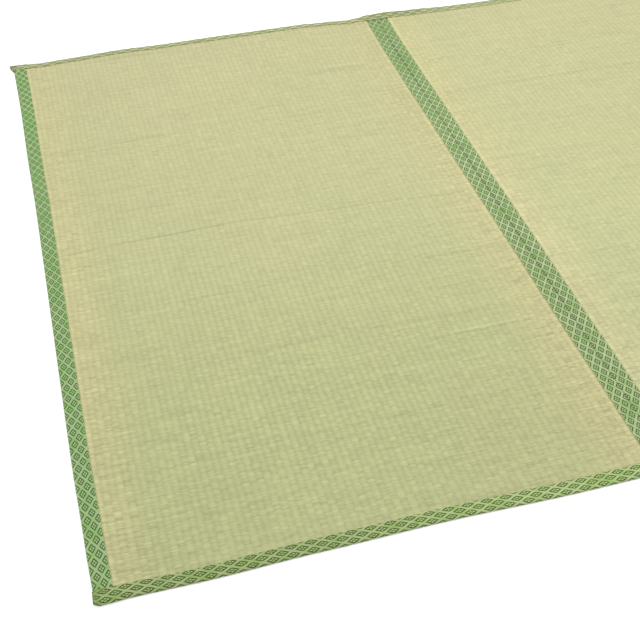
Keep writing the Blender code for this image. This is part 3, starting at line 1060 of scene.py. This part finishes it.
def tape_material(name, repeat, middle, edge, colours, paler, fresher=0.0, bolder=0.0,
                  seam_shadow=(), plain_from=None):
    """Cloth with a lattice of diamonds, each quartered by a cross.

    repeat and middle are one repeat's size and one diamond's middle, along and across the
    tape in the cloth map's own values. edge is the upper flap's edge there. A row of paler
    says from where to where along the tape it grows paler, and by how much. fresher is how
    much greener it grows towards the back, and bolder how much more its lattice stands out
    there. A row of seam_shadow says from where to where the shadow in the seam deepens, and
    by how much. From plain_from outwards on both sides the cloth is a plainer turned-in hem,
    whose darker colour is also painted shade of the tape's open end.
    """
    graph = Graph(name)
    along, across = graph.cloth_map()
    thread_along = graph.math("SNAP", along, THREAD)
    thread_across = graph.math("SNAP", across, THREAD)
    p = graph.divided(graph.less(thread_along, middle[0]), repeat[0])
    q = graph.divided(graph.less(thread_across, middle[1]), repeat[1])

    # Places along a diamond's two sides, 0 at its middle and 1 half way to the next diamond
    sides = []
    for value in (graph.add(p, q), graph.less(p, q)):
        sides.append(graph.times(graph.away(value, graph.math("ROUND", value)), 2.0))
    distance = graph.math("MAXIMUM", *sides)
    from_cross = graph.math("MINIMUM", *sides)
    thread = graph.chance(
        graph.divided(thread_along, THREAD), graph.divided(thread_across, THREAD))
    fleck = graph.chance(
        graph.math("FLOOR", graph.divided(along, FLECK_ALONG)),
        graph.math("FLOOR", graph.divided(across, FLECK_ACROSS)))

    # Colours: the lattice, a diamond's inside with its four quarters, the cross between them
    # and the diamond's outline, then the selvedge and the hem
    patches = graph.noise(along, across, PATCH_SCALES)
    fresh = graph.plus(
        graph.slope(patches, *PATCH), (graph.slope(along, *FRESHER_ALONG), fresher))
    bold = graph.times(graph.slope(along, *BOLDER_ALONG), bolder)
    lattice = graph.mix(graph.times(fresh, 0.55), colours["lattice"], colours["patch"])
    inside = graph.mix(graph.times(fresh, 0.6), colours["inside"], colours["patch"])
    tone = graph.mix(graph.slope(distance, *INSIDE), lattice, inside)
    quarter = graph.times(
        graph.slope(distance, *QUARTER), graph.slope(from_cross, *QUARTER_BESIDE_CROSS),
        graph.plus(0.60, (fleck, 0.40), (bold, -0.45)))
    tone = graph.mix(quarter, tone, colours["fleck"])
    cross = graph.times(graph.slope(distance, *CROSS_ARM), graph.slope(from_cross, *CROSS_LINE))
    tone = graph.mix(graph.times(cross, 0.45), tone, colours["outline"])
    broken = graph.plus(
        0.75, (graph.slope(fleck, *OUTLINE_BROKEN), 0.25),
        (graph.slope(from_cross, *OUTLINE_CORNER), -0.25))
    outline = graph.times(
        graph.slope(distance, *OUTLINE_OUTSIDE), graph.slope(distance, *OUTLINE_INSIDE), broken)
    tone = graph.mix(outline, tone, colours["outline"])
    selvedge = graph.slope(across, edge - SELVEDGE_START, edge - SELVEDGE_FULL)
    selvedge = graph.times(selvedge, graph.plus(0.40, (fleck, 0.50)))
    tone = graph.mix(selvedge, tone, colours["selvedge"])
    if plain_from is not None:
        plain = graph.slope(
            graph.math("ABSOLUTE", along), plain_from + HEM_START, plain_from + HEM_FULL)
        # The hem at the open ends: a plainer turned-in cloth, darkened also with painted shade
        tone = graph.mix(graph.times(plain, 0.30), tone, colours["hem"])

    # Lighter and darker places
    factor = graph.plus(
        1.0, (graph.less(thread, 0.5), 0.10), (graph.slope(distance, *LATTICE_MIDDLE), 0.13),
        (graph.slope(distance, *LATTICE_BOLD), graph.times(bold, 0.20)),
        # Painted light on the upper edge's wall, against the shade it lies in
        (graph.slope(across, edge - EDGE_WALL_PAINTED_LIGHT, edge), 0.25))
    for pale_from, pale_to, share in paler:
        factor = graph.plus(factor, (graph.slope(along, pale_from, pale_to), share))
    near_seam = graph.slope(across, *SEAM_SHADOW)
    for dark_from, dark_to, share in seam_shadow:
        deeper = graph.slope(along, dark_from, dark_to)
        factor = graph.plus(factor, (graph.times(near_seam, deeper), -share))

    threads = graph.times(
        graph.math("SINE", graph.times(along, 2.0 * math.pi / THREAD)),
        graph.math("SINE", graph.times(across, 2.0 * math.pi / THREAD)))
    height = graph.plus(0.0, (threads, 0.35), (graph.slope(distance, *LATTICE_RAISED), 0.8))
    set_inputs(graph.shader, {"Roughness": 0.85, "Specular IOR Level": 0.08})
    set_inputs(graph.shader, {"Sheen Weight": 0.03, "Sheen Roughness": 0.50})
    colour = graph.shade(tone, factor)
    return graph.finish(colour, height, bump_distance=0.0003, bump_strength=0.40)


SIDE_COLOURS = {
    "lattice": seen(166, 193, 136),
    "patch": seen(126, 182, 84),
    "inside": seen(122, 158, 90),
    "outline": seen(44, 84, 10),
    "fleck": seen(208, 226, 176),
    "selvedge": seen(180, 188, 132),
}
JOINT_COLOURS = {
    "lattice": seen(183, 201, 148),
    "patch": seen(136, 182, 96),
    "inside": seen(140, 162, 105),
    "outline": seen(56, 88, 12),
    "fleck": seen(210, 222, 176),
    "selvedge": seen(200, 204, 150),
}
FRONT_COLOURS = {
    "lattice": seen(170, 188, 128),
    "patch": seen(138, 172, 84),
    "inside": seen(124, 152, 80),
    "outline": seen(34, 64, 2),
    "fleck": seen(204, 214, 158),
    "selvedge": seen(164, 170, 116),
    "hem": seen(122, 144, 86),
}
BACK_COLOURS = {
    "lattice": seen(200, 204, 156),
    "patch": seen(164, 182, 114),
    "inside": seen(160, 166, 118),
    "outline": seen(80, 94, 36),
    "fleck": seen(212, 216, 172),
    "selvedge": seen(172, 175, 124),
    # Dark mostly as painted shade of the back tape's shadowed open end
    "hem": seen(84, 96, 60),
}


def floor_material():
    """A plain pale floor without gloss."""
    material = bpy.data.materials.new("pale_floor")
    material.use_nodes = True
    shader = material.node_tree.nodes["Principled BSDF"]
    set_inputs(shader, {"Base Color": (FLOOR_TONE, FLOOR_TONE, FLOOR_TONE, 1.0)})
    set_inputs(shader, {"Roughness": 0.9, "Specular IOR Level": 0.0})
    return material


# One repeat's length and width in the end tapes' cloth, and where one diamond's middle lies
END_REPEAT = (0.0300, 0.0162)
END_MIDDLE = (-0.4603, 0.0130)
HEM_FROM = 0.8720

MATERIALS = {
    "rush": rush_material(),
    "side_tape": tape_material(
        "side_tape_cloth", repeat=(0.0292, 0.0166), middle=(0.0162, 0.0109), edge=0.0310,
        colours=SIDE_COLOURS, paler=[(0.20, 0.80, -0.03)], fresher=0.15, bolder=0.6),
    "joint_tape": tape_material(
        "joint_tape_cloth", repeat=(0.0285, 0.0163), middle=(0.0089, 0.0027), edge=0.0290,
        # Its paler row from 0.844 to 0.853 is a painted shadow, cast by the back end tape's
        # edge
        colours=JOINT_COLOURS, paler=[(0.20, 0.80, -0.08), (0.844, 0.853, -0.22)], fresher=0.35,
        bolder=0.2, seam_shadow=[
            (-0.92, -0.90, 0.08), (-0.48, -0.38, 0.10), (0.08, 0.33, -0.12),
            (0.37, 0.58, 0.18), (0.63, 0.78, -0.24)]),
    "front_tape": tape_material(
        "front_tape_cloth", repeat=END_REPEAT, middle=END_MIDDLE, edge=0.0280,
        colours=FRONT_COLOURS, paler=[(-0.65, -0.20, 0.23)], plain_from=HEM_FROM),
    "back_tape": tape_material(
        "back_tape_cloth", repeat=END_REPEAT, middle=END_MIDDLE, edge=0.0240,
        colours=BACK_COLOURS, plain_from=HEM_FROM,
        paler=[(-0.90, -0.20, 0.04), (-0.06, 0.00, -0.14), (0.09, 0.14, 0.12)]),
    "floor": floor_material(),
}


# Pieces: the name, the node that each stands for, its flat cut and how it is held


def dress(piece, node):
    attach(piece, "root")
    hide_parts(node)


def folded_cut(width):
    """Width of a tape's flat cut: both flaps and the turn between them."""
    return 2 * width + FOLDED_HEIGHT


def make_carpet():
    side_cut = (folded_cut(SIDE_TAPE_WIDTH), 2 * MAT_END)
    joint_cut = (folded_cut(JOINT_TAPE_WIDTH), 2 * MAT_END)
    front_cut = (folded_cut(FRONT_TAPE_MEAN), 2 * (HALF_WIDTH + TIP_WALL))
    back_cut = (folded_cut(BACK_TAPE_MEAN), 2 * (HALF_WIDTH + TIP_WALL))

    left_mat = rush_mat("left_rush_mat", -1.0, is_folded=True, seed=1.0)
    right_mat = rush_mat("right_rush_mat", 1.0, is_folded=False, seed=2.0)
    dress(left_mat, "rush_panel_left")
    dress(right_mat, "rush_panel_right")

    for name, node, side, at_seam, mat, cut, seed in (
        ("left_side_tape", "side_binding_left", -1.0, False, left_mat, side_cut, 13.0),
        ("right_side_tape", "side_binding_right", 1.0, False, right_mat, side_cut, 16.0),
        ("left_joint_tape", "joint_binding_left", -1.0, True, left_mat, joint_cut, 14.0),
        ("right_joint_tape", "joint_binding_right", 1.0, True, right_mat, joint_cut, 17.0),
    ):
        tape = long_tape(name, side, at_seam, seed)
        dress(tape, node)

    for name, node, is_back, cut, seed in (
        ("front_end_tape", "end_binding_front", False, front_cut, 3.0),
        ("back_end_tape", "end_binding_back", True, back_cut, 4.0),
    ):
        tape = end_tape(name, is_back, seed)
        dress(tape, node)


def make_floor():
    size = FLOOR_HALF_SIZE
    corners = [(-size, -size), (size, -size), (size, size), (-size, size)]
    mesh = bpy.data.meshes.new("floor")
    mesh.from_pydata([(x, y, -FLOOR_DROP) for x, y in corners], [], [(0, 1, 2, 3)])
    mesh.materials.append(MATERIALS["floor"])
    floor = add_object("floor", mesh)


def light_scene():
    """Even white light from all round, and one large soft light that shines straight down."""
    world = bpy.data.worlds.new("studio")
    world.use_nodes = True
    sky = world.node_tree.nodes["Background"]
    set_inputs(sky, {"Color": (1.0, 1.0, 1.0, 1.0), "Strength": SKY_STRENGTH})
    bpy.context.scene.world = world
    light = bpy.data.lights.new("key", "AREA")
    light.shape = "DISK"
    light.size = KEY_SIZE
    light.energy = KEY_POWER
    add_object("key", light).location = KEY_PLACE
    bpy.context.scene.view_settings.view_transform = "Standard"


def make_camera():
    """The camera at the photograph's angle, with its small roll."""
    camera_data = bpy.data.cameras.new("camera")
    camera_data.lens = CAMERA_LENS
    camera_data.sensor_width = SENSOR_WIDTH
    camera_data.shift_x = CAMERA_SHIFT_X
    camera_data.clip_start = 0.05
    camera_data.clip_end = 200.0
    camera = add_object("camera", camera_data)
    azimuth = math.radians(CAMERA_AZIMUTH)
    elevation = math.radians(CAMERA_ELEVATION)
    backward = Vector((
        math.sin(azimuth) * math.cos(elevation),
        -math.cos(azimuth) * math.cos(elevation),
        math.sin(elevation),
    ))
    camera.location = CAMERA_TARGET + CAMERA_DISTANCE * backward
    roll = Quaternion((0.0, 0.0, 1.0), math.radians(CAMERA_ROLL))
    camera.rotation_mode = "QUATERNION"
    camera.rotation_quaternion = (-backward).to_track_quat("-Z", "Y") @ roll
    bpy.context.scene.camera = camera


make_camera()
make_carpet()
make_floor()
light_scene()
